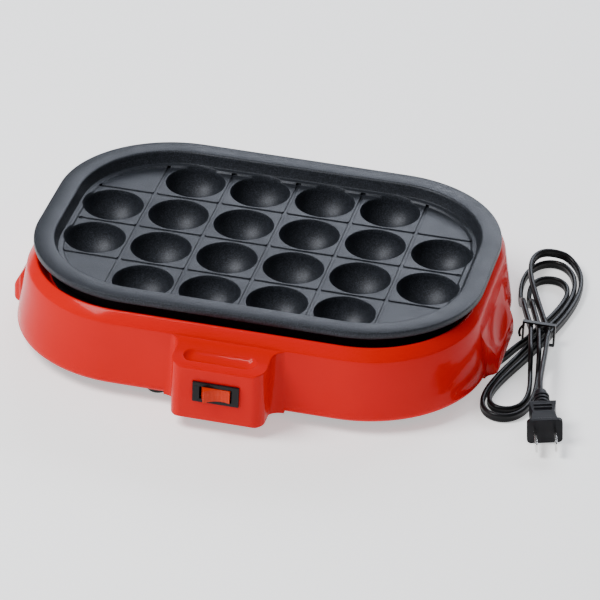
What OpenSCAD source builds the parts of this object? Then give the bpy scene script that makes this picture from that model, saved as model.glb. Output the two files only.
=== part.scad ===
// Takoyaki maker: a red countertop cooker with a lift-off cooking plate of twenty cups,
// a heater pan under the plate, a rocker switch in a box at the front and a mains cord
// that is folded into a hank beside the right end.
// Lengths are millimetres. X runs along the body, the switch faces -Y and Z is up.
// The origin is on the table, at the centre of the body's bounding box without the cord.

/* [Body] */
// length of the housing at its lower edge, without the end grips
body_w = 316; // [314:1:380]
// depth of the housing at its lower edge, without the switch box
body_d = 241; // [239:1:290]
// height of the red housing without its feet
body_h = 49.5; // [47:0.5:60]
// plan corner radius of the housing at its lower edge
body_r = 83.5; // [82:0.5:86]
// thickness of the housing's walls
wall = 2.7; // [2.2:0.1:3.3]
// height of the rubber feet
foot_h = 9; // [8:0.5:12]
// diameter of the rubber feet
foot_d = 16; // [12:0.5:20]
// reach of each end grip beyond the housing
grip_reach = 7.3; // [5:0.1:9]
// width of the straight part of each end grip
grip_w = 44; // [34:1:50]

/* [Cooking plate] */
// distance between neighbouring cups
cup_pitch = 45; // [44:0.2:45.4]
// diameter of a cup at the floor of the plate
cup_mouth = 40; // [34:0.5:41]
// depth of a cup below the floor of the plate
cup_depth = 19; // [16:0.5:20]
// thickness of a cup's shell
cup_shell = 2.6; // [2:0.1:2.8]
// width of the flat rim round the plate
rim_w = 13; // [11:0.5:14]
// thickness of the rim
rim_t = 4.8; // [4:0.1:6]
// height of the rim's top above the floor of the plate
rim_rise = 9.3; // [8:0.1:11]
// width of the grooves between the cups
groove_w = 2.2; // [1.6:0.1:2.4]
// depth of the grooves between the cups
groove_depth = 0.9; // [0.6:0.1:1.4]

/* [Heater] */
// depth of the heater pan below its flange
pan_depth = 26; // [24:0.5:27]
// thickness of the pan's sheet steel
pan_t = 0.8; // [0.6:0.1:1]
// diameter of the tubular heating element
element_d = 6.5; // [5.4:0.1:7.8]
// height of the element's centre above the pan's underside
element_rise = 9; // [8.4:0.1:9.2]

/* [Switch] */
// centre of the switch box along the body
box_x = 2; // [-20:1:20]
// width of the switch box
box_w = 62; // [50:1:70]
// reach of the switch box's face beyond the housing's lower edge
box_reach = 23.9; // [21:0.1:30]
// width of the switch's bezel
bezel_w = 30.4; // [25:0.1:37]
// height of the switch's bezel
bezel_h = 14.2; // [13.6:0.1:15]
// angle of the rocker to the switch's face, on or off
rocker_tilt = 15; // [10:0.5:16]

/* [Cord] */
// width of the flat two-core cord
cord_w = 6.2; // [5.6:0.1:6.4]
// thickness of the flat two-core cord
cord_t = 3.2; // [2.8:0.1:3.4]
// step between neighbouring strands at the hank's waist
waist_step = 5.53; // [5.4:0.1:5.8]

/* [Hidden] */
$fn = 96;

// ---- levels above the table ----
z_base = foot_h;
z_top = foot_h + body_h;
z_ledge = z_top - 10.5;
z_floor = z_ledge + 10;
z_rim = z_floor + rim_rise;
z_pan = z_ledge - pan_depth;
z_element = z_pan + element_rise;
base_t = 2.2;
z_base_top = z_base + base_t;

// ---- plan: centres of the corner arcs ----
hx = body_w/2 - body_r;
hy = body_d/2 - body_r;
px = hx - 3.6;
py = hy - 11.4;

// ---- plan: radii about those centres ----
plate_r = body_r - 3.8;
crease_r = body_r - 6.2;
opening_r = body_r - 12;
slope_foot_r = opening_r - 8.5;
base_r = body_r - 6.3;
pan_r = body_r - 19.5;
rib_r = body_r - 16.7;

// ---- switch ----
box_front = body_d/2 + box_reach;
z_switch = z_base + 22;
switch_x = box_x + 0.4;
bezel_t = 1.6;
switch_w = bezel_w - 3.4;
switch_h = bezel_h - 1.6;
switch_len = 18;
window_w = bezel_w - 9.2;
window_h = bezel_h - 5;
rocker_h = window_h - 0.6;
rocker_half = window_w/2 - 2.4;
rocker_dip = 2.7;
rocker_face = 6.3;
rocker_dish_r = (pow(rocker_half, 2) + pow(rocker_dip, 2))/(2*rocker_dip);
pivot_depth = 2.6;
pivot_pin_r = 1.2;
pivot_clearance = 0.05;
pivot_y = -(box_front + bezel_t - pivot_depth);
switch_fit = 0.2;

// ---- body's place: the box round everything but the cord is centred on the origin ----
rocker_proud = rocker_face*cos(rocker_tilt) + rocker_half*sin(rocker_tilt) - pivot_depth;
front_reach = box_front + bezel_t + rocker_proud;
back_reach = body_d/2;
grid_y = (front_reach - back_reach)/2;

// ---- fasteners ----
screw_clearance = 0.05;
boss_r = 4.5;
housing_screw_r = 1.5;
side_boss = [hx + 56, hy + 26.5];
end_boss = [hx + 0.5, hy + 58.5];
housing_boss_at = [for (sx = [-1, 1], sy = [-1, 1], p = [side_boss, end_boss]) [sx*p[0], sy*p[1]]];
z_boss = z_base + 5.2;
corner_foot = [hx + 51.5, hy + 1];
foot_at = concat(
  [for (sx = [-1, 1], sy = [-1, 1]) [sx*corner_foot[0], sy*corner_foot[1]]],
  [[box_x - box_w/2 - 18, -(hy + 64)]]
);
foot_screw_r = 1.5;
post_at = [[-60, -30], [-60, 30], [60, -30], [60, 30]];
post_r = 5;
pan_screw_r = 1.5;
spacer_t = 2;
sheet_t = 0.4;

// ---- heating element's route in plan ----
run_y = [45, 13.5];
arc_r = (run_y[0] - run_y[1])/2;
arc_x = -80;
hairpin_x = 74;
leg_x = 96;
leg_bend_r = 8;
leg_end = z_pan - 6;

// ---- cord's places ----
cord_x = 50;
cord_z = z_base + 10;
bushing_tail = 22;
bushing_end = back_reach + bushing_tail;
bushing_start = back_reach - 9.5;
inner_end = back_reach - 28.5;
// the clamp's seat is level with the lower edge of the upright cord
z_clamp = cord_z - cord_w/2;
clamp_y = back_reach - 16.5;
clamp_half = 11;
clamp_t = 2.6;
clamp_fit = 0.05;
clamp_screw_x = 8;
clamp_screw_r = 1.2;

color_red = [0.86, 0.09, 0.07];
color_plate = [0.36, 0.4, 0.45];
color_black = [0.07, 0.07, 0.08];
color_steel = [0.72, 0.72, 0.74];
color_dark_steel = [0.2, 0.2, 0.22];
color_brass = [0.8, 0.66, 0.3];
color_ceramic = [0.92, 0.9, 0.85];
color_orange = [0.92, 0.38, 0.05];

// ---- shapes used by several sub-parts ----

// plan outline: a rectangle with corner arcs of radius r about (cx, cy)
module outline(cx, cy, r) {
  square([2*cx, 2*(cy + r)], center = true);
  square([2*(cx + r), 2*cy], center = true);
  for (sx = [-1, 1], sy = [-1, 1]) translate([sx*cx, sy*cy]) circle(r);
}

module slab(cx, cy, r, z0, z1) {
  translate([0, 0, z0]) linear_extrude(z1 - z0) outline(cx, cy, r);
}

// carries a profile, drawn as (radius, height), once round the same plan outline
module carried(cx, cy) {
  for (k = [0:3]) {
    sx = (k == 0 || k == 3) ? 1 : -1;
    sy = (k < 2) ? 1 : -1;
    translate([sx*cx, sy*cy, 0]) rotate([0, 0, 90*k]) rotate_extrude(angle = 90) children();
  }
  for (turn = [0, 180]) {
    rotate([0, 0, turn]) translate([cx, cy, 0]) rotate([90, 0, 0])
      linear_extrude(2*cy) children();
    rotate([0, 0, turn + 90]) translate([cy, cx, 0]) rotate([90, 0, 0])
      linear_extrude(2*cx) children();
  }
}

// a screw whose head's underside is at z = 0, head down
module screw_up(shank_r, shank, head_r, head) {
  translate([0, 0, -head]) difference() {
    cylinder(r = head_r, h = head);
    translate([0, 0, -1]) cylinder(r = head_r*0.45, h = head*0.6 + 1, $fn = 6);
  }
  cylinder(r = shank_r, h = shank);
}

module in_place() translate([0, grid_y, 0]) children();

// ---- cooking plate ----
cup_sphere_r = (pow(cup_mouth/2, 2) + pow(cup_depth, 2))/(2*cup_depth);
cup_centre_z = z_floor - cup_depth + cup_sphere_r;
floor_t = 3.2;
rib_w = 2.8;
cup_at = [for (row = [0:3], col = [0:5]) if (row == 1 || row == 2 || (col > 0 && col < 5))
  [(col - 2.5)*cup_pitch, (row - 1.5)*cup_pitch]];

module rim_profile() {
  inner = plate_r - rim_w;
  low = z_rim - rim_t;
  polygon([
    [plate_r - 20.9, z_floor], [plate_r - 20.9, z_floor - floor_t],
    [plate_r - 12.9, z_floor - floor_t], [plate_r - 10.4, low],
    [plate_r - 0.9, low], [plate_r - 0.25, low + 0.3], [plate_r, low + 1],
    [plate_r, z_rim - 1.1], [plate_r - 0.35, z_rim - 0.35], [plate_r - 1.1, z_rim],
    [inner + 0.7, z_rim], [inner - 0.1, z_rim - 0.2], [inner - 0.7, z_rim - 0.8],
    [inner - 0.95, z_rim - 1.6], [inner - 2.9, z_floor + 2.2], [inner - 3.3, z_floor + 1.5],
    [inner - 3.9, z_floor + 1.3], [inner - 5.9, z_floor + 1.3], [inner - 6.5, z_floor + 1],
    [inner - 6.9, z_floor + 0.4], [inner - 7.5, z_floor]
  ]);
}

module grooves() {
  cross = 2*cup_pitch;
  reach_x = 128.5*cup_pitch/45;
  reach_y = 85*cup_pitch/45;
  bulb_d = groove_w + 1.4;
  node_side = 2*groove_w + 0.2;
  translate([0, 0, z_floor - groove_depth]) linear_extrude(groove_depth + 1) {
    for (y = [-cup_pitch, 0, cup_pitch]) {
      translate([-reach_x, y - groove_w/2]) square([2*reach_x, groove_w]);
      for (x = [-reach_x, reach_x]) translate([x, y]) circle(d = bulb_d);
      for (x = [-cross, -cup_pitch, 0, cup_pitch, cross])
        translate([x, y]) rotate(45) square(node_side, center = true);
    }
    for (x = [-cross, -cup_pitch, 0, cup_pitch, cross]) {
      translate([x - groove_w/2, -reach_y]) square([groove_w, 2*reach_y]);
      for (y = [-reach_y, reach_y]) translate([x, y]) circle(d = bulb_d);
    }
  }
}

module cooking_plate() color(color_plate) in_place() difference() {
  union() {
    carried(px, py) rim_profile();
    slab(px, py, plate_r - 20.4, z_floor - floor_t, z_floor);
    carried(px, py) translate([rib_r - rib_w, z_ledge + pan_t])
      square([rib_w, z_floor - floor_t - z_ledge - pan_t + 0.4]);
    for (p = cup_at) translate([p[0], p[1], 0]) rotate_extrude() intersection() {
      translate([0, cup_centre_z]) circle(cup_sphere_r + cup_shell);
      translate([0, z_floor - 30]) square([40, 30 - floor_t/2]);
    }
  }
  for (p = cup_at) translate([p[0], p[1], 0]) {
    translate([0, 0, cup_centre_z]) sphere(cup_sphere_r);
    translate([0, 0, z_floor - 0.6]) cylinder(r1 = cup_mouth/2 - 0.05, r2 = cup_mouth/2 + 1.4, h = 2.4);
  }
  grooves();
}

// ---- red housing ----
module wall_profile() {
  edge = body_r;
  crease_z = z_top - 6.9;
  under = slope_foot_r + 1.7;
  polygon([
    [base_r + 0.2, z_base], [edge - 3.4, z_base], [edge - 1.8, z_base + 0.6],
    [edge - 0.7, z_base + 1.7], [edge - 0.15, z_base + 3], [edge, z_base + 4.4],
    [crease_r + 0.2, crease_z - 0.7], [crease_r - 0.2, crease_z + 0.5],
    [crease_r - 0.9, crease_z + 1.5], [opening_r + 0.8, z_top - 0.55],
    [opening_r + 0.2, z_top - 0.1], [opening_r - 0.5, z_top], [opening_r - 1.1, z_top - 0.3],
    [opening_r - 1.5, z_top - 0.8], [slope_foot_r, z_ledge], [slope_foot_r - 0.6, z_ledge],
    [slope_foot_r - 0.6, z_ledge - 2.5], [under, z_ledge - 2.5], [opening_r - 0.3, z_top - 4.2],
    [crease_r - wall, crease_z - 0.6], [edge - wall, z_base + 5.6], [edge - wall - 0.6, z_base + 4],
    [edge - wall - 1.8, z_base + 3.1], [base_r + 0.2, z_base + 2.9]
  ]);
}

grip_y = -8.5;
grip_root = 12;
grip_arc = (pow(grip_root, 2) + pow(grip_reach, 2))/(4*grip_reach);
module grip_plan() {
  x0 = body_w/2;
  x1 = x0 + grip_reach;
  y1 = grip_w/2;
  y2 = y1 + grip_root;
  xm = (x0 + x1)/2;
  ym = (y1 + y2)/2;
  difference() {
    polygon([[x0 - 5, -y2], [x0, -y2], [xm, -ym], [x1, -y1], [x1, y1], [xm, ym], [x0, y2], [x0 - 5, y2]]);
    for (s = [-1, 1]) translate([x0 + grip_arc, s*y2]) circle(grip_arc);
  }
  for (s = [-1, 1]) intersection() {
    translate([x1 - grip_arc, s*y1]) circle(grip_arc);
    translate([xm, s > 0 ? y1 - 2 : -ym]) square([grip_reach, ym - y1 + 2]);
  }
}
module grip_side() {
  x0 = body_w/2;
  x1 = x0 + grip_reach;
  polygon([
    [x0 - 5, z_base + 0.01], [x1 - 3, z_base + 0.01], [x1 - 1.1, z_base + 0.7], [x1 - 0.2, z_base + 2.4],
    [x1, z_base + 4.4], [x1 - 0.1, z_base + 7.4], [x1 - 0.7, z_base + 10.2], [x1 - 1.9, z_base + 13.4],
    [x0 - 4, z_base + 31.5], [x0 - 5, z_base + 35]
  ]);
}
// scooped dish on a grip's sloping face, as a barrel whose axis runs along Y
scoop_r = 30;
scoop_barrel_r = 130;
module grip_scoop() {
  translate([body_w/2 + grip_reach + 18.4, 0, z_base + 35.4]) rotate([90, 0, 0]) rotate_extrude()
    intersection() {
      translate([scoop_r - scoop_barrel_r, 0]) circle(scoop_barrel_r);
      translate([0, -40]) square([scoop_r, 80]);
    }
}
module grip() translate([0, grip_y, 0]) difference() {
  intersection() {
    translate([0, 0, z_base]) linear_extrude(40) grip_plan();
    translate([0, grip_w, 0]) rotate([90, 0, 0]) linear_extrude(2*grip_w) grip_side();
  }
  grip_scoop();
}

box_half = box_w/2;
box_corner = 9;
box_roof = z_top - 7.5;
// the box ends inside the thickness of the housing's front wall
box_back = -(hy + crease_r - 1);
box_back_low = -(hy + base_r + 0.7);
module box_side() {
  front = -box_front;
  polygon([
    [box_back_low, z_base], [box_back_low, z_base + 3.4], [box_back, z_base + 3.4], [box_back, box_roof],
    [box_back - 2, box_roof - 0.2], [front + 3.2, box_roof - 2.4],
    [front + 1.1, box_roof - 3.1], [front + 0.2, box_roof - 4.4],
    [front, box_roof - 5.8 ], [front, z_base + 1.2], [front + 0.4, z_base + 0.3],
    [front + 1.2, z_base]
  ]);
}
module box_plan(inset) {
  r = box_corner - inset;
  half = box_half - inset;
  front = -box_front + inset;
  translate([box_x - half, front + r]) square([2*half, box_back - front - r + (inset > 0 ? 14 : 0)]);
  translate([box_x - half + r, front]) square([2*half - 2*r, r + 1]);
  for (s = [-1, 1]) translate([box_x + s*(half - r), front + r]) circle(r);
}
root_r = 9;
wall_lean = atan((body_r - crease_r)/(z_top - 7.6 - z_base - 4.4));
module box_roots() {
  for (s = [-1, 1]) translate([box_x, -(hy + body_r), z_base + 4.4]) rotate([-wall_lean, 0, 0])
    mirror([s < 0 ? 1 : 0, 0, 0]) translate([box_half - 0.5, 0, -4.4]) linear_extrude(60)
      difference() {
        translate([0, -root_r]) square([root_r + 0.5, root_r + 3]);
        translate([root_r + 0.5, -root_r]) circle(root_r);
      }
}
module box_outer() intersection() {
  union() {
    translate([0, 0, z_base]) linear_extrude(60) box_plan(0);
    box_roots();
  }
  translate([box_x - 60, 0, 0]) rotate([90, 0, 90]) linear_extrude(120) box_side();
}
module box_inner() {
  translate([0, 0, z_base + 3]) linear_extrude(box_roof - 8 - z_base - 3) box_plan(wall);
  translate([box_x - box_half + 5, -box_front + 6, z_base - 1]) cube([box_w - 10, 40, 5]);
}
// long finger dish in the shelf above the switch
module shelf_dish() {
  half = 26;
  r = 8.6;
  translate([box_x - 0.6, -box_front + 11.9, box_roof + 3.9]) rotate([0, 90, 0]) rotate_extrude() union() {
    translate([0, -half + r]) square([r, 2*(half - r)]);
    for (s = [-1, 1]) intersection() {
      translate([0, s*(half - r)]) circle(r);
      translate([0, -half]) square([r, 2*half]);
    }
  }
}

module upper_housing() color(color_red) in_place() difference() {
  union() {
    carried(hx, hy) wall_profile();
    difference() {
      slab(hx, hy, slope_foot_r + 0.2, z_ledge - 2.5, z_ledge);
      slab(px, py, pan_r + 0.8, z_ledge - 4, z_ledge + 1);
    }
    for (s = [0, 1]) mirror([s, 0, 0]) grip();
    box_outer();
    for (p = housing_boss_at) translate([p[0], p[1], z_boss])
      cylinder(r = boss_r, h = z_ledge - 1.5 - z_boss);
  }
  box_inner();
  shelf_dish();
  translate([switch_x - switch_w/2 - switch_fit, -box_front - 1, z_switch - switch_h/2 - switch_fit])
    cube([switch_w + 2*switch_fit, 8, switch_h + 2*switch_fit]);
  for (p = housing_boss_at) translate([p[0], p[1], z_boss - 1])
    cylinder(r = housing_screw_r + screw_clearance, h = 16);
  translate([cord_x, back_reach + 5, cord_z]) rotate([90, 0, 0]) cylinder(r = bushing_neck + 0.1, h = 20);
}

// ---- black base ----
foot_recess = 4.5;
module base_cover() color(color_black) in_place() difference() {
  union() {
    slab(hx, hy, base_r, z_base, z_base_top);
    translate([box_x - box_half + 5.2, -box_front + 6.2, z_base]) cube([box_w - 10.4, 40, base_t]);
    for (p = housing_boss_at) translate([p[0], p[1], z_base]) cylinder(r = 5.5, h = z_boss - z_base);
    for (p = foot_at) translate([p[0], p[1], z_base]) cylinder(r = boss_r, h = 9);
    for (p = post_at) translate([p[0], p[1], z_base]) cylinder(r = post_r, h = z_pan - spacer_t - z_base);
    translate([cord_x - clamp_half, clamp_y - 6, z_base]) cube([2*clamp_half, 12, z_clamp - z_base]);
  }
  for (p = housing_boss_at) translate([p[0], p[1], z_base - 1]) {
    cylinder(r = 3.2, h = 3.6);
    cylinder(r = housing_screw_r + 0.2, h = 12);
  }
  for (p = foot_at) translate([p[0], p[1], z_base - 1])
    cylinder(r = foot_screw_r + screw_clearance, h = 8.6);
  for (p = post_at) translate([p[0], p[1], z_pan - spacer_t - 9])
    cylinder(r = pan_screw_r + screw_clearance, h = 10);
  for (s = [-1, 1]) translate([cord_x + s*clamp_screw_x, clamp_y, z_base_top])
    cylinder(r = clamp_screw_r + screw_clearance, h = z_clamp);
  // cooling slots
  for (x = [-35:10:35], y = [-1, 1]) translate([x - 1.5, y*58 - 14, z_base - 1]) cube([3, 28, 5]);
}

module rubber_feet() color(color_black) in_place() for (p = foot_at) translate([p[0], p[1], 0])
  difference() {
    rotate_extrude() polygon([
      [0, 0], [foot_d/2 - 1.8, 0], [foot_d/2 - 1.2, 0.3], [foot_d/2 - 0.9, 0.9],
      [foot_d/2, foot_h], [0, foot_h]
    ]);
    translate([0, 0, -1]) cylinder(r = 3.4, h = foot_recess + 1);
    cylinder(r = foot_screw_r + 0.2, h = foot_h + 1);
  }

module foot_screws() color(color_steel) in_place() for (p = foot_at)
  translate([p[0], p[1], foot_recess]) screw_up(foot_screw_r, foot_h - foot_recess + 7, 2.9, 2);

module housing_screws() color(color_steel) in_place() for (p = housing_boss_at)
  translate([p[0], p[1], z_base + 2.6]) screw_up(housing_screw_r, 14, 2.8, 2);

// ---- heater ----
module heater_pan() color(color_dark_steel) in_place() difference() {
  union() {
    carried(px, py) polygon([
      [pan_r - 5, z_pan], [pan_r - 3, z_pan], [pan_r - 0.9, z_pan + 0.9], [pan_r, z_pan + 3],
      [pan_r, z_ledge], [pan_r + 0.2, z_ledge], [pan_r + 0.2, z_ledge + pan_t],
      [pan_r - pan_t, z_ledge + pan_t], [pan_r - pan_t, z_pan + 3.2],
      [pan_r - pan_t - 0.6, z_pan + 1.5], [pan_r - 3.2, z_pan + pan_t], [pan_r - 5, z_pan + pan_t]
    ]);
    slab(px, py, pan_r - 4.5, z_pan, z_pan + pan_t);
    difference() {
      slab(hx, hy, slope_foot_r - 1.2, z_ledge, z_ledge + pan_t);
      slab(px, py, pan_r - pan_t, z_ledge - 1, z_ledge + 2);
    }
  }
  for (p = post_at) translate([p[0], p[1], z_pan - 1]) cylinder(r = pan_screw_r + 0.2, h = 4);
  for (s = [-1, 1]) translate([leg_x, s*run_y[0], z_pan - 1]) cylinder(r = bushing_neck_r + 0.1, h = 4);
}

module reflector_sheet() color([0.85, 0.86, 0.88]) in_place() difference() {
  slab(px, py, pan_r - 6, z_pan + pan_t, z_pan + pan_t + sheet_t);
  for (p = post_at) translate([p[0], p[1], z_pan - 1]) cylinder(r = pan_screw_r + 0.2, h = 4);
  for (s = [-1, 1]) translate([leg_x, s*run_y[0], z_pan - 1]) cylinder(r = bushing_r + 0.4, h = 4);
}

module rod_along_x(x0, x1, y) translate([x0, y, z_element]) rotate([0, 90, 0])
  cylinder(d = element_d, h = x1 - x0);
module heating_element() color(color_dark_steel) in_place() {
  for (s = [-1, 1]) {
    rod_along_x(arc_x, leg_x - leg_bend_r, s*run_y[0]);
    rod_along_x(arc_x, hairpin_x, s*run_y[1]);
    translate([arc_x, s*(run_y[0] + run_y[1])/2, z_element]) rotate([0, 0, 90])
      rotate_extrude(angle = 180) translate([arc_r, 0]) circle(d = element_d);
    translate([leg_x - leg_bend_r, s*run_y[0], z_element - leg_bend_r]) rotate([90, 0, 0])
      rotate_extrude(angle = 90) translate([leg_bend_r, 0]) circle(d = element_d);
    translate([leg_x, s*run_y[0], leg_end]) cylinder(d = element_d, h = z_element - leg_bend_r - leg_end);
  }
  translate([hairpin_x, 0, z_element]) rotate([0, 0, -90])
    rotate_extrude(angle = 180) translate([run_y[1], 0]) circle(d = element_d);
}

bushing_neck_r = element_d/2 + 0.75;
bushing_r = bushing_neck_r + 2;
module element_bushings() color(color_ceramic) in_place() for (s = [-1, 1])
  translate([leg_x, s*run_y[0], 0]) difference() {
    union() {
      translate([0, 0, z_pan - 2.5]) cylinder(r = bushing_r, h = 2.5);
      translate([0, 0, z_pan - 0.1]) cylinder(r = bushing_neck_r, h = pan_t + 0.5);
    }
    translate([0, 0, z_pan - 5]) cylinder(d = element_d + 0.1, h = 12);
  }

module element_saddles() color(color_steel) in_place()
  for (x = [-45, 45], y = [-run_y[0], -run_y[1], run_y[1], run_y[0]])
    translate([x, y, 0]) difference() {
      translate([-2.5, -element_d/2 - 1.7, z_pan + pan_t + sheet_t])
        cube([5, element_d + 3.4, element_rise - pan_t - sheet_t]);
      translate([-5, 0, z_element]) rotate([0, 90, 0]) cylinder(d = element_d + 0.1, h = 10);
    }

tab_t = 0.8;
module terminal_tabs() color(color_steel) in_place() for (s = [-1, 1])
  translate([leg_x, s*run_y[0], leg_end - tab_t]) {
    cylinder(r = 3.6, h = tab_t);
    translate([0, -3.15, 0]) cube([18, 6.3, tab_t]);
  }

thermostat_at = [0, -30];
module thermostat() color(color_ceramic) in_place() translate([thermostat_at[0], thermostat_at[1], 0]) {
  translate([0, 0, z_pan - 1]) cylinder(r = 9, h = 1);
  translate([0, 0, z_pan - 6]) cylinder(r = 7.5, h = 5.5);
  for (s = [-1, 1]) translate([s*10.5 - 5, -2.4, z_pan - 5]) cube([10, 4.8, 0.8]);
}

fuse_at = [32, -62];
fuse_r = 2.8;
module thermal_fuse() color([0.8, 0.8, 0.82]) in_place()
  translate([fuse_at[0], fuse_at[1], z_pan - fuse_r]) rotate([0, 90, 0]) {
    translate([0, 0, -7]) cylinder(r = fuse_r, h = 14);
    translate([0, 0, -11]) cylinder(r = 1.2, h = 22);
  }

module pan_spacers() color(color_ceramic) in_place() for (p = post_at)
  translate([p[0], p[1], z_pan - spacer_t]) difference() {
    cylinder(r = 4.6, h = spacer_t);
    translate([0, 0, -1]) cylinder(r = pan_screw_r + 0.2, h = spacer_t + 2);
  }

module pan_screws() color(color_steel) in_place() for (p = post_at)
  translate([p[0], p[1], z_pan + pan_t + sheet_t]) mirror([0, 0, 1])
    screw_up(pan_screw_r, spacer_t + pan_t + sheet_t + 6, 2.9, 2);

// ---- switch ----
module switch_body() color(color_black) in_place() translate([switch_x, 0, z_switch]) difference() {
  union() {
    translate([-bezel_w/2, -box_front - bezel_t, -bezel_h/2]) cube([bezel_w, bezel_t, bezel_h]);
    translate([-switch_w/2, -box_front - 0.1, -switch_h/2]) cube([switch_w, switch_len + 0.1, switch_h]);
  }
  translate([-window_w/2, -box_front - bezel_t - 1, -window_h/2]) cube([window_w, 13.5, window_h]);
  translate([0, pivot_y, -window_h/2 - 1.3])
    cylinder(r = pivot_pin_r + pivot_clearance, h = window_h + 2.6);
}

module rocker() color(color_orange) in_place() translate([switch_x, pivot_y, z_switch])
  rotate([0, 0, rocker_tilt]) {
    translate([0, 0, -rocker_h/2]) linear_extrude(rocker_h) mirror([0, 1]) difference() {
      polygon([
        [-rocker_half - 1.4, -2.8], [-rocker_half - 0.3, rocker_face - 0.5],
        [-rocker_half, rocker_face], [rocker_half, rocker_face],
        [rocker_half + 0.3, rocker_face - 0.5], [rocker_half + 1.4, -2.8],
        [rocker_half, -3.6], [-rocker_half, -3.6]
      ]);
      translate([0, rocker_face - rocker_dip + rocker_dish_r]) circle(rocker_dish_r);
    }
    translate([0, 0, -rocker_h/2 - 1.3]) cylinder(r = pivot_pin_r, h = rocker_h + 2.6);
  }

terminal_step = switch_w/2 - 5.5;
terminal_x = [-terminal_step, 0, terminal_step];
switch_back = -box_front + switch_len;
module switch_terminals() color(color_brass) in_place() for (x = terminal_x)
  translate([switch_x + x - 0.4, switch_back, z_switch - 3.15]) cube([0.8, 8, 6.3]);

module neon_lamp() color([0.95, 0.6, 0.4]) in_place()
  translate([switch_x, -box_front - bezel_t + 12.5 - 1.6, z_switch]) rotate([0, 90, 0])
    translate([0, 0, -4]) cylinder(r = 1.6, h = 8);

module sleeve(tab_w, tab_h) difference() {
  // a push-on receptacle that points along +X, its mouth at x = 0
  translate([0, -tab_w/2 - 0.7, -tab_h/2 - 0.8]) cube([11, tab_w + 1.4, tab_h + 1.6]);
  translate([-1, -tab_w/2 - 0.05, -tab_h/2 - 0.05]) cube([7, tab_w + 0.1, tab_h + 0.1]);
}
module spade_connectors() color(color_brass) in_place() {
  for (x = [terminal_x[0], terminal_x[2]])
    translate([switch_x + x, switch_back + 2, z_switch]) rotate([0, 0, 90]) rotate([90, 0, 0])
      sleeve(6.3, 0.8);
  for (s = [-1, 1]) translate([leg_x + 12, s*run_y[0], leg_end - tab_t/2]) sleeve(6.3, tab_t);
}

// ---- wires and cord: one tube swept along points ----
function unit(v) = v/norm(v);
// a smooth curve through hand-set points, steps rings to each stretch
function spline(p, steps) = let (n = len(p)) [
  for (i = [0:n - 2], k = [0:steps - 1])
    let (t = k/steps, a = p[max(i - 1, 0)], b = p[i], c = p[i + 1], d = p[min(i + 2, n - 1)])
      0.5*((2*b) + (c - a)*t + (2*a - 5*b + 4*c - d)*t*t + (3*b - a - 3*c + d)*t*t*t),
  p[n - 1]
];
// tangents, with the first and the last set so that the ends are square to what they meet
function tangents(q, first, last) = let (n = len(q)) [
  for (i = [0:n - 1]) i == 0 ? unit(first) : i == n - 1 ? unit(last) : unit(q[i + 1] - q[i - 1])
];
// a tube w wide along the direction nearest to up, and t thick across it
module tube(q, first, last, w, t, sides, up = [0, 0, 1]) {
  n = len(q);
  along = tangents(q, first, last);
  rings = [for (i = [0:n - 1])
    let (side = unit(cross(up, along[i])), rise = cross(along[i], side))
      for (k = [0:sides - 1]) let (a = 360*(k + 0.5)/sides)
        q[i] + side*(t/2*cos(a)) + rise*(w/2*sin(a))];
  walls = [for (i = [0:n - 2], k = [0:sides - 1])
    let (a = i*sides + k, b = i*sides + (k + 1)%sides)
      each [[a, b + sides, b], [a, a + sides, b + sides]]];
  start = [for (k = [1:sides - 2]) [0, k, k + 1]];
  stop = [for (k = [1:sides - 2]) [for (v = [0, k + 1, k]) (n - 1)*sides + v]];
  polyhedron(rings, concat(walls, start, stop));
}

// ---- the hank: five passes of a figure of eight, drawn in at the waist ----
waist = [180.7, 24.8];
lobe_reach = [77.8, 101.9, 99.3, 92.6, 103.9];
lobe_width = [0.1644, 0.1314, 0.1693, 0.1258, 0.1529];
// how full each pass is on its outgoing and on its returning side
outgoing = [0.199, 0.244, -0.142, 0.53, -0.092];
returning = [0.269, 0.335, -0.101, 0.503, 0.528];
lobe_lean = [-0.024, -0.062, -0.047, -0.069, -0.073];
// place of each strand across the waist, in steps
waist_place = [-1, 0, 0, -1, 1, 1];
low_z = cord_w/2 + 0.2;
under_z = low_z + 1;
over_z = low_z + 8.3;
function ease(t) = let (c = min(max(t, 0), 1)) c*c*(3 - 2*c);
function hump(d, top, near, far) = low_z + (top - low_z)*ease((far - d)/(far - near));
// point n of the hank, where each whole number is a pass through the waist
function strand(n) =
  let (j = min(floor(n + 0.0001), 4), f = n - j,
    across = waist_place[j] + (waist_place[j + 1] - waist_place[j])*ease(f),
    full = f < 0.5 ? outgoing[j] : returning[j],
    d = lobe_reach[j]*sin(180*f),
    x = across*waist_step + lobe_width[j]*lobe_reach[j]*sin(360*f)*(1 + full*pow(sin(180*f), 2))
      + lobe_lean[j]*d,
    is_over = (j%2 == 0) ? f > 0.5 : f < 0.5,
    z = is_over ? hump(d, over_z, 30, 44) : hump(d, under_z, 10, 30),
    // the last pass comes back over the others
    raised = j == 4 ? low_z + (over_z - low_z)*ease((f - 0.32)/0.32) : 0)
  [waist[0] + x, waist[1] + (j%2 == 0 ? d : -d), max(z, raised)];
rings_per_loop = 24;
hank_rings = [for (i = [0:5*rings_per_loop]) strand(i/rings_per_loop)];
hank_first = [0.293, 0.956, 0];
hank_last = [0.354, -0.935, 0];

// least gap between two stretches of the hank that are more than a third of a loop apart
function gap_between(a, b) = max(norm([a[0] - b[0], a[1] - b[1]]) - cord_t, abs(a[2] - b[2]) - cord_w);
module print_hank_gap() {
  fine = [for (i = [0:5*48]) strand(i/48)];
  gap = min([for (i = [0:5*48 - 17], k = [i + 17:5*48]) gap_between(fine[i], fine[k])]);
  echo(hank_gap_mm = gap);
}

module cord_hank() color(color_black) in_place() {
  print_hank_gap();
  tube(hank_rings, hank_first, hank_last, cord_w, cord_t, 6);
}

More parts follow.
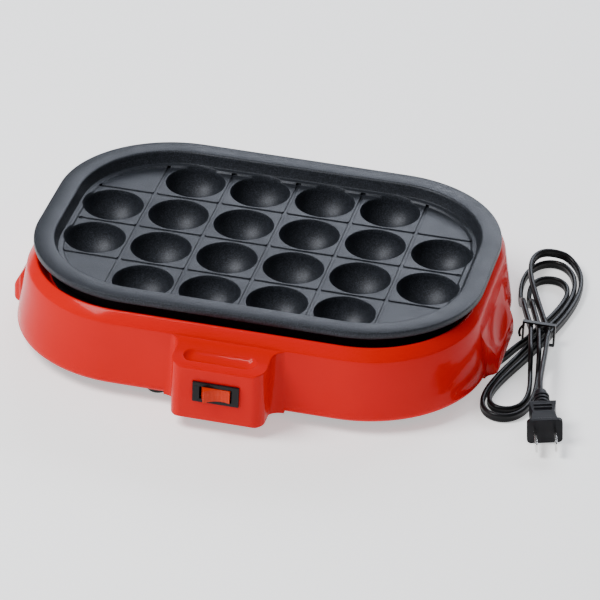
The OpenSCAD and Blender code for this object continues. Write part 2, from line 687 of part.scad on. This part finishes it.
// lead: out of the strain relief, down behind the body, back under it and up to the hank
lead_route = [
  [50, bushing_start, cord_z], [50, 127, cord_z], [50, bushing_end, cord_z],
  [50, 149, 18.7], [50, 157, 15.8], [50.3, 165, 10.6], [52.2, 173, 6],
  [57, 181, 3.9], [65, 187.3, 3.4], [75, 189.5, 3.3], [85, 187.3, 3.3], [93, 181, 3.3],
  [98.2, 172, 3.3], [100, 162, 3.3], [100, 130, 3.3], [100, 95, 3.3], [100, 60, 3.3],
  [100, 25, 3.3], [100, -10, 3.3], [100, -40, 3.3], [102, -50, 3.3], [107, -58.5, 3.3],
  [115, -64.5, 3.3], [124, -66.5, 3.3], [133, -64.5, 3.3], [141, -58.5, 3.3],
  [146.2, -50, 3.3], [149.4, -39, 3.3], [153.8, -27, 3.3], [158.9, -15, 3.3], [164, -3, 3.5],
  [168.6, 9, 3.9], strand(0) - 6*hank_first, strand(0)
];
module cord_lead() color(color_black) in_place()
  tube(spline(lead_route, 2), [0, 1, 0], hank_first, cord_w, cord_t, 8);

// tail: from the hank's waist over the lower loops to the plug, whose face edge is on the table
plug_len = 40;
plug_w = 23;
plug_h = 18.4;
grip_h = 12.6;
plate_t = 3;
plug_corner = 3;
plug_roll = 4;
plug_pitch = 6;
plug_turn = [plug_roll, plug_pitch, -75];
plug_heading = [cos(plug_turn[2])*cos(plug_pitch), sin(plug_turn[2])*cos(plug_pitch), -sin(plug_pitch)];
plug_low = (plug_w/2 - plug_corner)*sin(plug_roll) + (plug_h/2 - plug_corner)*cos(plug_roll) + plug_corner;
plug_entry = [197.4, -56.5, plug_low + plug_len*sin(plug_pitch)];
tail_route = [
  strand(5), strand(5) + 6*hank_last, [188.6, 13, 12], [189.9, 2, 12.9], [191.2, -10, 13.9],
  [192.4, -22, 14.6], [193.6, -34, 15], [194.6, -43, 15], plug_entry - 5*plug_heading, plug_entry
];
module cord_tail() color(color_black) in_place()
  tube(spline(tail_route, 2), hank_last, plug_heading, cord_w, cord_t, 8);

module twist_tie() color(color_black) in_place() translate([waist[0], waist[1], 0]) {
  half = 1.5*waist_step + 1.6;
  tie_top = over_z + cord_w/2 + 0.4;
  rotate([90, 0, 0]) translate([0, 0, -1.5]) linear_extrude(3) difference() {
    translate([-half - 1.2, 0.01]) square([2*half + 2.4, tie_top + 1.2]);
    translate([-half, 0.6]) square([2*half, tie_top - 0.6]);
  }
  // twisted ends
  tube(spline([
    [-half - 0.6, 0, tie_top - 2.5], [-half - 2.2, -1.4, tie_top - 4], [-half - 2.8, -2.4, tie_top - 7],
    [-half - 1.8, -3.4, tie_top - 9.5]
  ], 3), [-1, -0.4, -0.5], [0.4, -0.4, -1], 1.8, 1.8, 6, [0.2, 1, 0.1]);
}

// ---- what the cord goes through and ends in ----
bushing_neck = 5.5;
collar_y = back_reach - wall - 2.5;
module cord_bushing() color(color_black) in_place() translate([cord_x, 0, cord_z]) difference() {
  rotate([-90, 0, 0]) rotate_extrude() polygon([
    [0, bushing_start], [6.5, bushing_start], [6.5, collar_y - 0.6], [6, collar_y],
    [bushing_neck, collar_y], [bushing_neck, back_reach + 0.05], [8.4, back_reach + 0.05],
    [9, back_reach + 0.6], [8.6, back_reach + 1.5], [6, back_reach + 1.9],
    [5.2, back_reach + 4], [4.2, bushing_end], [0, bushing_end]
  ]);
  translate([-cord_t/2 - 0.1, 100, -cord_w/2 - 0.1]) cube([cord_t + 0.2, 60, cord_w + 0.2]);
}

module cord_inner() color(color_black) in_place()
  tube([[cord_x, bushing_start, cord_z], [cord_x, clamp_y, cord_z], [cord_x, inner_end, cord_z]],
    [0, -1, 0], [0, -1, 0], cord_w, cord_t, 8);

module cord_clamp() color(color_black) in_place() difference() {
  union() {
    translate([cord_x - clamp_half, clamp_y - 4, z_clamp]) cube([2*clamp_half, 8, clamp_t]);
    translate([cord_x - 4, clamp_y - 4, z_clamp]) cube([8, 8, cord_w + 1.6]);
  }
  translate([cord_x - cord_t/2 - clamp_fit, clamp_y - 5, z_clamp - 1])
    cube([cord_t + 2*clamp_fit, 10, cord_w + clamp_fit + 1]);
  for (s = [-1, 1]) translate([cord_x + s*clamp_screw_x, clamp_y, z_clamp - 1])
    cylinder(r = clamp_screw_r + clamp_fit, h = clamp_t + 2);
}

module clamp_screws() color(color_steel) in_place() for (s = [-1, 1])
  translate([cord_x + s*clamp_screw_x, clamp_y, z_clamp + clamp_t]) mirror([0, 0, 1])
    screw_up(clamp_screw_r, 6.5, 2.4, 1.6);

module plug_body() color(color_black) in_place() translate(plug_entry) rotate(plug_turn) {
  // neck with rings
  rotate([0, 90, 0]) cylinder(r1 = 3.9, r2 = 4.6, h = 16);
  for (x = [4.5:3.4:11.3]) translate([x, 0, 0]) rotate([0, 90, 0]) cylinder(r = 5.3, h = 1.9);
  // waisted grip
  hull() {
    translate([14.6, 0, 0]) cube([0.1, 12, 9], center = true);
    translate([16.5, 0, 0]) cube([1, 17.4, grip_h], center = true);
    translate([19, 0, 0]) cube([1, 17, grip_h], center = true);
  }
  hull() {
    translate([19, 0, 0]) cube([1, 17, grip_h], center = true);
    translate([26, 0, 0]) cube([1, 14, grip_h], center = true);
  }
  hull() {
    translate([26, 0, 0]) cube([1, 14, grip_h], center = true);
    translate([plug_len - plate_t, 0, 0]) cube([0.4, 17.6, grip_h + 1.6], center = true);
  }
  for (x = [20:3.2:26.4], s = [-1, 1]) translate([x, 0, s*grip_h/2]) cube([1.5, 11.6, 1.4], center = true);
  translate([plug_len - plate_t, 0, 0]) rotate([90, 0, 90]) linear_extrude(plate_t)
    outline(plug_w/2 - plug_corner, plug_h/2 - plug_corner, plug_corner);
}

blade_pitch = 12.7;
module plug_blades() color(color_steel) in_place() translate(plug_entry) rotate(plug_turn)
  for (s = [-1, 1]) translate([plug_len, s*blade_pitch/2, 0]) difference() {
    translate([0, -0.75, -3.175]) cube([17, 1.5, 6.35]);
    translate([12.5, 0, 0]) rotate([90, 0, 0]) cylinder(d = 3, h = 4, center = true);
    for (e = [-1, 1]) translate([17, e*0.75, 0]) rotate([0, 0, 45]) cube([1, 1, 8], center = true);
  }

// ---- wiring inside the housing ----
wire_d = 2;
module wire(route, first, last) tube(spline(route, 3), first, last, wire_d, wire_d, 8, [0.13, 0.21, 1]);
spade_y = switch_back + 13;
module wire_live() color([0.1, 0.1, 0.12]) in_place() wire([
  [cord_x - 1.2, inner_end, cord_z], [cord_x - 3, 82, 17], [38, 60, 14.5], [14, 20, 14], [4, -20, 14],
  [0, -44, 15], [-2, -60, 16.5], [switch_x + terminal_x[0], spade_y + 25.4, 20],
  [switch_x + terminal_x[0], spade_y + 16.4, 27],
  [switch_x + terminal_x[0], spade_y, z_switch]
], [0, -1, 0], [0, -1, 0]);
module wire_switched() color([0.75, 0.1, 0.08]) in_place() wire([
  [switch_x + terminal_x[2], spade_y, z_switch], [switch_x + terminal_x[2], spade_y + 15.4, 28],
  [switch_x + terminal_x[2], spade_y + 25.4, 20], [12, -72, 17.5],
  [fuse_at[0] - 16, fuse_at[1], z_pan - fuse_r],
  [fuse_at[0] - 11, fuse_at[1], z_pan - fuse_r]
], [0, 1, 0], [1, 0, 0]);
module wire_protected() color([0.9, 0.9, 0.9]) in_place() wire([
  [fuse_at[0] + 11, fuse_at[1], z_pan - fuse_r], [fuse_at[0] + 17, fuse_at[1] + 2, 18],
  [48, -50, 15], [34, -34, 15], [22, thermostat_at[1], z_pan - 4.6], [15.5, thermostat_at[1], z_pan - 4.6]
], [1, 0, 0], [-1, 0, 0]);
module wire_element() color([0.9, 0.9, 0.9]) in_place() wire([
  [-15.5, thermostat_at[1], z_pan - 4.6], [-24, thermostat_at[1] - 2, 16], [-26, -44, 14.5],
  [0, -50, 12.6], [50, -66, 13.5], [98, -(hy + 28), 13.5],
  [124, -(hy + 21), 14.5], [134, -(hy + run_y[0] + 15)/2, leg_end - 0.4],
  [127, -run_y[0], leg_end - 0.4], [leg_x + 23, -run_y[0], leg_end - 0.4]
], [-1, 0, 0], [-1, 0, 0]);
module wire_neutral() color([0.85, 0.85, 0.88]) in_place() wire([
  [cord_x + 1.2, inner_end, cord_z], [cord_x + 3, 84, 17], [62, 72, 14.5], [90, 64, 14],
  [118, 58, 14.5], [130, 51, leg_end - 0.4], [127, run_y[0], leg_end - 0.4],
  [leg_x + 23, run_y[0], leg_end - 0.4]
], [0, -1, 0], [-1, 0, 0]);

cooking_plate();
upper_housing();
base_cover();
heater_pan();
reflector_sheet();
heating_element();
element_bushings();
element_saddles();
terminal_tabs();
thermostat();
thermal_fuse();
pan_spacers();
pan_screws();
housing_screws();
rubber_feet();
foot_screws();
switch_body();
rocker();
switch_terminals();
neon_lamp();
spade_connectors();
wire_live();
wire_switched();
wire_protected();
wire_element();
wire_neutral();
cord_bushing();
cord_inner();
cord_clamp();
clamp_screws();
cord_lead();
cord_hank();
cord_tail();
twist_tie();
plug_body();
plug_blades();
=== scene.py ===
# A red takoyaki maker with a lift-off cast plate of twenty cups, seen from the front and
# a little from the right, with its cord folded beside it. Lengths are metres, except the
# numbers of the cord, the camera's place and place(), which are millimetres.
import math

import bmesh
import bpy
from mathutils import Matrix, Vector


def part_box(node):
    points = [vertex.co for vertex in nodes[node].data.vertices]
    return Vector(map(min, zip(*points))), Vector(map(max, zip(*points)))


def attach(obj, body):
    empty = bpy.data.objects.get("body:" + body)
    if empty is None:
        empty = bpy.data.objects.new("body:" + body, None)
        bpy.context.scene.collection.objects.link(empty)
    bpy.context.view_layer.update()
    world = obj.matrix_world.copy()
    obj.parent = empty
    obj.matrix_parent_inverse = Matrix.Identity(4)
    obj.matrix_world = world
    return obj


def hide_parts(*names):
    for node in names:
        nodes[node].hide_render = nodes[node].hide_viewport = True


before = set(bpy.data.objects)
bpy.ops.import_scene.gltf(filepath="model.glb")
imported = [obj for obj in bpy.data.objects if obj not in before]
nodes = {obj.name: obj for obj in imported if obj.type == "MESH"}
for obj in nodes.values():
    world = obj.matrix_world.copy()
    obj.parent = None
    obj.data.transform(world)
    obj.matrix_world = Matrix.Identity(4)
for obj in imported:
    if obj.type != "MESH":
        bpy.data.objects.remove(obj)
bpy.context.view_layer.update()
MM = 0.001

# ---------------------------------------------------------------- places worked out from the frame
# the part's own plan is drawn about the middle of the grid of cups, GRID_Y behind the origin
plate_low, plate_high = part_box("cooking_plate")
GRID_Y = (plate_low.y + plate_high.y)/2


def place(x, y, z):
    """A point given in millimetres about the middle of the cups, as part.scad draws it."""
    return Vector((x*MM, y*MM + GRID_Y, z*MM))


# ---------------------------------------------------------------- camera
CAMERA_AT = place(549.1, -2405.2, 1515.1)
CAMERA_AZIMUTH = math.radians(12.338)
CAMERA_ELEVATION = math.radians(31.262)
CAMERA_ROLL = math.radians(2.412)
CAMERA_LENS = 259.92


def make_camera():
    az, el, roll = CAMERA_AZIMUTH, CAMERA_ELEVATION, CAMERA_ROLL
    ahead = Vector((-math.sin(az)*math.cos(el), math.cos(az)*math.cos(el), -math.sin(el)))
    level = Vector((math.cos(az), math.sin(az), 0))
    upright = level.cross(ahead)
    right = level*math.cos(roll) + upright*math.sin(roll)
    up = upright*math.cos(roll) - level*math.sin(roll)
    turn = Matrix((right, up, -ahead)).transposed().to_4x4()
    data = bpy.data.cameras.new("camera")
    data.lens = CAMERA_LENS
    data.sensor_width = 36
    data.clip_start = 0.1
    data.clip_end = 50
    camera = bpy.data.objects.new("camera", data)
    camera.matrix_world = Matrix.Translation(CAMERA_AT) @ turn
    bpy.context.scene.collection.objects.link(camera)
    bpy.context.scene.camera = camera


make_camera()


# ---------------------------------------------------------------- mesh helpers
def add_object(name, vertices, faces, material=None, smooth=True):
    mesh = bpy.data.meshes.new(name)
    mesh.from_pydata([tuple(v) for v in vertices], [], faces)
    mesh.validate()
    if smooth:
        mesh.shade_smooth()
    piece = bpy.data.objects.new(name, mesh)
    bpy.context.scene.collection.objects.link(piece)
    if material:
        mesh.materials.append(material)
    return piece


def swept(name, path, section, material, up=Vector((0, 0, 1)), ends=None):
    """A tube: section holds (across, rise) pairs, and rise keeps as near to up as the path lets it."""
    count, sides = len(path), len(section)
    vertices, faces = [], []
    for i, point in enumerate(path):
        along = path[min(i + 1, count - 1)] - path[max(i - 1, 0)]
        if ends and i in (0, count - 1):
            along = Vector(ends[0 if i == 0 else 1])
        along.normalize()
        across = up.cross(along).normalized()
        rise = along.cross(across)
        vertices += [point + across*a + rise*r for a, r in section]
    for i in range(count - 1):
        for k in range(sides):
            a, b = i*sides + k, i*sides + (k + 1) % sides
            faces.append((a, b, b + sides, a + sides))
    faces.append(tuple(range(sides - 1, -1, -1)))
    faces.append(tuple((count - 1)*sides + k for k in range(sides)))
    return add_object(name, vertices, faces, material)


def spline(points, steps):
    """A smooth curve through given points, with steps short lines to each stretch."""
    curve = []
    last = len(points) - 1
    for i in range(last):
        a, b = points[max(i - 1, 0)], points[i]
        c, d = points[i + 1], points[min(i + 2, last)]
        for k in range(steps):
            t = k/steps
            curve.append(0.5*(2*b + (c - a)*t + (2*a - 5*b + 4*c - d)*t*t
                              + (3*b - a - 3*c + d)*t*t*t))
    curve.append(points[last])
    return curve


# ---------------------------------------------------------------- material helpers
def new_material(name, color, roughness, metallic=0.0, **sockets):
    material = bpy.data.materials.new(name)
    material.use_nodes = True
    shader = material.node_tree.nodes["Principled BSDF"]
    shader.inputs["Base Color"].default_value = (*color, 1)
    shader.inputs["Roughness"].default_value = roughness
    shader.inputs["Metallic"].default_value = metallic
    for socket, value in sockets.items():
        value = (*value, 1) if isinstance(value, tuple) else value
        shader.inputs[socket.replace("_", " ")].default_value = value
    return material


def noise(material, scale, detail=4.0, roughness=0.55):
    """A noise texture in object space, whose scale is in features per metre."""
    tree = material.node_tree
    place_node = tree.nodes.get("Object Space") or tree.nodes.new("ShaderNodeTexCoord")
    place_node.name = "Object Space"
    texture = tree.nodes.new("ShaderNodeTexNoise")
    texture.inputs["Scale"].default_value = scale
    texture.inputs["Detail"].default_value = detail
    texture.inputs["Roughness"].default_value = roughness
    tree.links.new(place_node.outputs["Object"], texture.inputs["Vector"])
    return texture


def ramp(material, source, low, high, low_value, high_value):
    """Maps the source's range low..high on to two grey levels or two colours."""
    def as_color(value):
        return (*value, 1) if isinstance(value, tuple) else (value, value, value, 1)

    node = material.node_tree.nodes.new("ShaderNodeValToRGB")
    node.color_ramp.elements[0].position = low
    node.color_ramp.elements[1].position = high
    node.color_ramp.elements[0].color = as_color(low_value)
    node.color_ramp.elements[1].color = as_color(high_value)
    material.node_tree.links.new(source, node.inputs["Fac"])
    return node.outputs["Color"]


def vary(material, socket, source):
    material.node_tree.links.new(source, material.node_tree.nodes["Principled BSDF"].inputs[socket])


def relief(material, heights, edge=0.0):
    """Stacks bumps, given as (height output, strength, depth), over edges rounded by edge metres."""
    tree = material.node_tree
    normal = None
    if edge:
        soft = tree.nodes.new("ShaderNodeBevel")
        soft.samples = 6
        soft.inputs["Radius"].default_value = edge
        normal = soft.outputs["Normal"]
    for height, strength, depth in heights:
        bump = tree.nodes.new("ShaderNodeBump")
        bump.inputs["Strength"].default_value = strength
        bump.inputs["Distance"].default_value = depth
        tree.links.new(height, bump.inputs["Height"])
        if normal:
            tree.links.new(normal, bump.inputs["Normal"])
        normal = bump.outputs["Normal"]
    if normal:
        tree.links.new(normal, tree.nodes["Principled BSDF"].inputs["Normal"])


# ---------------------------------------------------------------- materials
def moulded(name, color, roughness, grain=2600, depth=0.00003, edge=0.0004, **sockets):
    """Moulded plastic or rubber: slight change of colour and gloss, and a fine grain."""
    m = new_material(name, color, roughness, **sockets)
    patches = noise(m, 35, 3)
    light = tuple(min(1, c*1.12 + 0.004) for c in color)
    dark = tuple(c*0.88 for c in color)
    vary(m, "Base Color", ramp(m, patches.outputs["Fac"], 0.35, 0.65, dark, light))
    wear = noise(m, 140, 4)
    vary(m, "Roughness", ramp(m, wear.outputs["Fac"], 0.3, 0.7, roughness*0.85, min(1, roughness*1.15)))
    relief(m, [(noise(m, grain, 3).outputs["Fac"], 0.35, depth)], edge)
    return m


def metal(name, color, roughness, edge=0.0002, grain=900):
    """Bare metal with cloudy tarnish and an uneven polish."""
    m = new_material(name, color, roughness, metallic=1.0)
    cloud = noise(m, 90, 5)
    vary(m, "Base Color", ramp(m, cloud.outputs["Fac"], 0.3, 0.7, tuple(c*0.8 for c in color), color))
    polish = noise(m, grain, 2)
    vary(m, "Roughness", ramp(m, polish.outputs["Fac"], 0.3, 0.7, roughness*0.7, min(1, roughness*1.35)))
    relief(m, [(polish.outputs["Fac"], 0.2, 0.00002)], edge)
    return m


def cast_coating():
    """Dark non-stick coating on a cast plate: speckled, with an orange-peel grain."""
    m = new_material("plate coating", (0.01, 0.011, 0.013), 0.42, Specular_IOR_Level=0.3,
                     Specular_Tint=(0.88, 0.91, 1))
    speckle = noise(m, 1500, 5, 0.7)
    vary(m, "Base Color", ramp(m, speckle.outputs["Fac"], 0.45, 0.75, (0.004, 0.005, 0.006),
                               (0.052, 0.058, 0.076)))
    cloud = noise(m, 60, 4)
    vary(m, "Roughness", ramp(m, cloud.outputs["Fac"], 0.3, 0.7, 0.37, 0.46))
    relief(m, [(speckle.outputs["Fac"], 0.8, 0.0002), (noise(m, 420, 4).outputs["Fac"], 0.25, 0.00015)],
           0.0007)
    return m


def red_plastic():
    """Gloss red housing plastic with a faint flow ripple and slightly uneven gloss."""
    m = new_material("red plastic", (0.55, 0.003, 0.002), 0.25, Specular_IOR_Level=0.03,
                     Coat_Weight=0.14, Coat_Roughness=0.08)
    patches = noise(m, 12, 3)
    vary(m, "Base Color", ramp(m, patches.outputs["Fac"], 0.3, 0.7, (0.55, 0.0022, 0.0018),
                               (0.59, 0.003, 0.0026)))
    wear = noise(m, 300, 5)
    vary(m, "Roughness", ramp(m, wear.outputs["Fac"], 0.3, 0.7, 0.2, 0.27))
    relief(m, [(noise(m, 55, 2).outputs["Fac"], 0.05, 0.0004)], 0.0012)
    return m


def rocker_plastic():
    """Orange rocker plastic, a little uneven in colour."""
    return moulded("rocker plastic", (0.52, 0.022, 0.001), 0.25, edge=0.0003, Specular_IOR_Level=0.12)


def cord_vinyl():
    """Flexible cord jacket: smooth black vinyl."""
    return moulded("cord vinyl", (0.005, 0.005, 0.006), 0.34, grain=3200, edge=0.0002,
                   Specular_IOR_Level=0.14)


RED = red_plastic()
CAST = cast_coating()
BLACK = moulded("black plastic", (0.012, 0.012, 0.014), 0.45, Specular_IOR_Level=0.3)
SWITCH_BLACK = moulded("switch plastic", (0.006, 0.006, 0.007), 0.3, Specular_IOR_Level=0.15)
RUBBER = moulded("rubber", (0.015, 0.015, 0.015), 0.7)
VINYL = cord_vinyl()
PAN = metal("pan steel", (0.05, 0.05, 0.055), 0.45)
REFLECTOR = metal("reflector sheet", (0.85, 0.86, 0.88), 0.25)
SHEATH = metal("element sheath", (0.12, 0.125, 0.11), 0.5)
STEEL = metal("plated steel", (0.62, 0.62, 0.63), 0.3)
BLADE = metal("nickel plate", (0.78, 0.77, 0.75), 0.2)
BRASS = metal("tinned brass", (0.75, 0.6, 0.32), 0.3)
CERAMIC = moulded("ceramic", (0.8, 0.78, 0.72), 0.6, grain=1800)
ORANGE = rocker_plastic()
PLUG_BLACK = moulded("plug plastic", (0.006, 0.006, 0.008), 0.4, edge=0.0007, Specular_IOR_Level=0.13)
LAMP = moulded("lamp glass", (0.95, 0.5, 0.3), 0.1, Transmission_Weight=0.8)
WIRE_BLACK = moulded("black insulation", (0.02, 0.02, 0.02), 0.45)
WIRE_RED = moulded("red insulation", (0.6, 0.03, 0.02), 0.45)
WIRE_WHITE = moulded("white sleeving", (0.8, 0.79, 0.74), 0.6, grain=5000)

NODE_MATERIALS = {
    CAST: ["cooking_plate"],
    RED: ["upper_housing"],
    BLACK: ["base_cover", "cord_clamp"],
    PLUG_BLACK: ["plug_body"],
    SWITCH_BLACK: ["switch_body"],
    ORANGE: ["rocker"],
    RUBBER: ["rubber_feet"],
    PAN: ["heater_pan"],
    REFLECTOR: ["reflector_sheet"],
    SHEATH: ["heating_element"],
    CERAMIC: ["element_bushings", "pan_spacers", "thermostat"],
    STEEL: ["element_saddles", "pan_screws", "housing_screws", "foot_screws", "clamp_screws",
            "terminal_tabs", "thermal_fuse"],
    BLADE: ["plug_blades"],
    BRASS: ["switch_terminals", "spade_connectors"],
    LAMP: ["neon_lamp"],
    VINYL: ["cord_bushing", "cord_inner", "cord_lead", "cord_hank", "cord_tail", "twist_tie"],
    WIRE_BLACK: ["wire_live"],
    WIRE_RED: ["wire_switched"],
    WIRE_WHITE: ["wire_protected", "wire_element", "wire_neutral"],
}
for material, names in NODE_MATERIALS.items():
    for name in names:
        data = nodes[name].data
        data.materials.clear()
        data.materials.append(material)


def smooth_by_angle(piece, degrees=32):
    """Rounds the shading of curved faces and keeps real edges, without changing the mesh itself."""
    piece.data.shade_smooth()
    weld = piece.modifiers.new("weld", "WELD")
    weld.merge_threshold = 0.000002
    split = piece.modifiers.new("edges", "EDGE_SPLIT")
    split.split_angle = math.radians(degrees)
    split.use_edge_sharp = False


for piece in nodes.values():
    smooth_by_angle(piece)

# ---------------------------------------------------------------- ribbed rocker
RIB_PITCH = 0.9*MM
RIB_DEPTH = 0.16*MM
RIB_MARGIN = 1.0*MM
CUTS_PER_RIB = 4
SUNK_CUTS = (2, 3)
FRONT_FACING = -0.5


def make_ribbed_rocker():
    """The rocker again, with fine upright ribs cut into the faces that turn towards the finger."""
    source = nodes["rocker"]
    shape = bmesh.new()
    shape.from_mesh(source.data)
    shape.transform(source.matrix_world)
    bmesh.ops.remove_doubles(shape, verts=shape.verts[:], dist=0.000002)
    low = min(v.co.x for v in shape.verts) + RIB_MARGIN
    high = max(v.co.x for v in shape.verts) - RIB_MARGIN
    count = CUTS_PER_RIB*round((high - low)/RIB_PITCH)
    for k in range(count + 1):
        bmesh.ops.bisect_plane(shape, geom=shape.verts[:] + shape.edges[:] + shape.faces[:],
                               plane_co=(low + (high - low)*k/count, 0, 0), plane_no=(1, 0, 0))
    shape.normal_update()
    shifts = {}
    for v in shape.verts:
        k = round((v.co.x - low)/(high - low)*count)
        if 0 < k < count and k % CUTS_PER_RIB in SUNK_CUTS and v.normal.y < FRONT_FACING:
            shifts[v] = v.normal*(-RIB_DEPTH)
    for v, shift in shifts.items():
        v.co += shift
    mesh = bpy.data.meshes.new("rocker_ribbed")
    shape.to_mesh(mesh)
    shape.free()
    mesh.materials.append(ORANGE)
    piece = bpy.data.objects.new("rocker_ribbed", mesh)
    bpy.context.scene.collection.objects.link(piece)
    smooth_by_angle(piece, 25)
    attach(piece, "rocker")
    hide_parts("rocker")


make_ribbed_rocker()

# ---------------------------------------------------------------- cord
# millimetres from here to the end of the cord
CORD_WIDTH = 6.2
CORD_THICKNESS = 3.2
EXIT_X = 50
BACK = 120.5
BUSHING_START = BACK - 9.5
BUSHING_END = BACK + 22
CORD_Z = 19
LOW_Z = CORD_WIDTH/2 + 0.2
UNDER_Z = LOW_Z + 1
OVER_Z = LOW_Z + 8.3

# the hank: five passes of a figure of eight, drawn in at the waist
PASSES = 5
POINTS_PER_PASS = 60
SPLINE_STEPS = 6
END_RUN = 6
PLUG_RUN = 5
OVER_HUMP = (30, 44)
UNDER_HUMP = (10, 30)
RAISE_FROM = 0.32
RAISE_OVER = 0.32
WAIST = (180.7, 24.8)
WAIST_STEP = 5.53
LOBE_REACH = (77.8, 101.9, 99.3, 92.6, 103.9)
LOBE_WIDTH = (0.1644, 0.1314, 0.1693, 0.1258, 0.1529)
OUTGOING = (0.199, 0.244, -0.142, 0.53, -0.092)
RETURNING = (0.269, 0.335, -0.101, 0.503, 0.528)
LOBE_LEAN = (-0.024, -0.062, -0.047, -0.069, -0.073)
HANK_FIRST = Vector((0.293, 0.956, 0))
HANK_LAST = Vector((0.354, -0.935, 0))
WAIST_PLACE = (-1, 0, 0, -1, 1, 1)
PLUG_ENTRY = place(197.4, -56.5, 13.959)
PLUG_HEADING = Vector((0.2574, -0.9606, -0.1045))


def ease(t):
    t = min(max(t, 0), 1)
    return t*t*(3 - 2*t)


def hump(d, top, near, far):
    """Height at distance d from the waist: top up to near, and down on the table from far."""
    return LOW_Z + (top - LOW_Z)*ease((far - d)/(far - near))


def strand(n):
    """Point n of the hank, where each whole number is a pass through the waist."""
    j = min(math.floor(n + 0.0001), PASSES - 1)
    f = n - j
    across = WAIST_PLACE[j] + (WAIST_PLACE[j + 1] - WAIST_PLACE[j])*ease(f)
    full = OUTGOING[j] if f < 0.5 else RETURNING[j]
    wave = math.sin(math.pi*f)
    d = LOBE_REACH[j]*wave
    x = (across*WAIST_STEP
         + LOBE_WIDTH[j]*LOBE_REACH[j]*math.sin(2*math.pi*f)*(1 + full*wave*wave)
         + LOBE_LEAN[j]*d)
    is_over = f > 0.5 if j % 2 == 0 else f < 0.5
    z = hump(d, OVER_Z, *OVER_HUMP) if is_over else hump(d, UNDER_Z, *UNDER_HUMP)
    is_last = j == PASSES - 1
    raised = LOW_Z + (OVER_Z - LOW_Z)*ease((f - RAISE_FROM)/RAISE_OVER) if is_last else 0
    return place(WAIST[0] + x, WAIST[1] + (d if j % 2 == 0 else -d), max(z, raised))


def cord_path():
    """From inside the strain relief, under the housing, round the hank and to the plug."""
    first, last = strand(0), strand(PASSES)
    lead = [place(*p) for p in (
        (EXIT_X, BUSHING_START, CORD_Z), (EXIT_X, 127, CORD_Z), (EXIT_X, BUSHING_END, CORD_Z),
        (EXIT_X, 149, 18.7), (EXIT_X, 157, 15.8), (50.3, 165, 10.6), (52.2, 173, 6),
        (57, 181, 3.9), (65, 187.3, 3.4),
        (75, 189.5, 3.3), (85, 187.3, 3.3), (93, 181, 3.3), (98.2, 172, 3.3), (100, 162, 3.3),
        (100, 130, 3.3), (100, 95, 3.3), (100, 60, 3.3), (100, 25, 3.3), (100, -10, 3.3),
        (100, -40, 3.3), (102, -50, 3.3), (107, -58.5, 3.3), (115, -64.5, 3.3), (124, -66.5, 3.3),
        (133, -64.5, 3.3), (141, -58.5, 3.3), (146.2, -50, 3.3), (149.4, -39, 3.3),
        (153.8, -27, 3.3), (158.9, -15, 3.3), (164, -3, 3.5), (168.6, 9, 3.9))]
    lead += [first - HANK_FIRST*END_RUN*MM, first]
    hank = [strand(i/POINTS_PER_PASS) for i in range(1, PASSES*POINTS_PER_PASS)]
    tail = [last, last + HANK_LAST*END_RUN*MM]
    tail += [place(*p) for p in (
        (188.6, 13, 12), (189.9, 2, 12.9), (191.2, -10, 13.9), (192.4, -22, 14.6),
        (193.6, -34, 15), (194.6, -43, 15))]
    tail += [PLUG_ENTRY - PLUG_HEADING*PLUG_RUN*MM, PLUG_ENTRY]
    return spline(lead, SPLINE_STEPS) + hank + spline(tail, SPLINE_STEPS)


def twin_section(width, thickness, steps=9):
    """Two round cores, one above the other, with a groove between, as (across, rise) pairs."""
    core = thickness/2*MM
    offset = width/2*MM - core
    section = []
    for side in (1, -1):
        for k in range(steps):
            a = side*math.radians(90) + math.radians(-128 + 256*k/(steps - 1))
            section.append((core*math.cos(a), side*offset + core*math.sin(a)))
    return section


route = cord_path()
cord = swept("cord", route, twin_section(CORD_WIDTH, CORD_THICKNESS), VINYL,
             ends=((0, 1, 0), PLUG_HEADING))
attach(cord, "base")
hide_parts("cord_lead", "cord_hank", "cord_tail")


# ---------------------------------------------------------------- stage
FLOOR_HALF = 6
FLOOR_GLOW = 0.62
ROOM_COLOR = (0.94, 0.97, 1, 1)
ROOM_STRENGTH = 0.24


def make_stage():
    """A white, softly glowing table like a product shot's, under a dim even room."""
    paper = new_material("floor", (0.93, 0.93, 0.93), 0.9,
                         Emission_Color=(1, 1, 1), Emission_Strength=FLOOR_GLOW)
    corners = [(x*FLOOR_HALF, y*FLOOR_HALF, 0) for x, y in ((-1, -1), (1, -1), (1, 1), (-1, 1))]
    floor = add_object("floor", corners, [(0, 1, 2, 3)], paper, smooth=False)
    world = bpy.data.worlds.new("studio")
    bpy.context.scene.world = world
    world.use_nodes = True
    background = world.node_tree.nodes["Background"]
    background.inputs["Color"].default_value = ROOM_COLOR
    background.inputs["Strength"].default_value = ROOM_STRENGTH


def area_light(name, at, towards, size, power, color=(1, 1, 1)):
    data = bpy.data.lights.new(name, "AREA")
    data.shape = "RECTANGLE"
    data.size, data.size_y = size
    data.energy = power
    data.color = color
    light = bpy.data.objects.new(name, data)
    at, towards = Vector(at), Vector(towards)
    turn = (at - towards).to_track_quat("Z", "Y").to_matrix().to_4x4()
    light.matrix_world = Matrix.Translation(at) @ turn
    bpy.context.scene.collection.objects.link(light)


make_stage()
area_light("key", (-0.9, -0.6, 1.6), (0, 0, 0.03), (0.9, 0.9), 50)
area_light("back", (0.3, 2.2, 1.3), (0, 0, 0.05), (2.4, 0.8), 54, (0.84, 0.89, 1))
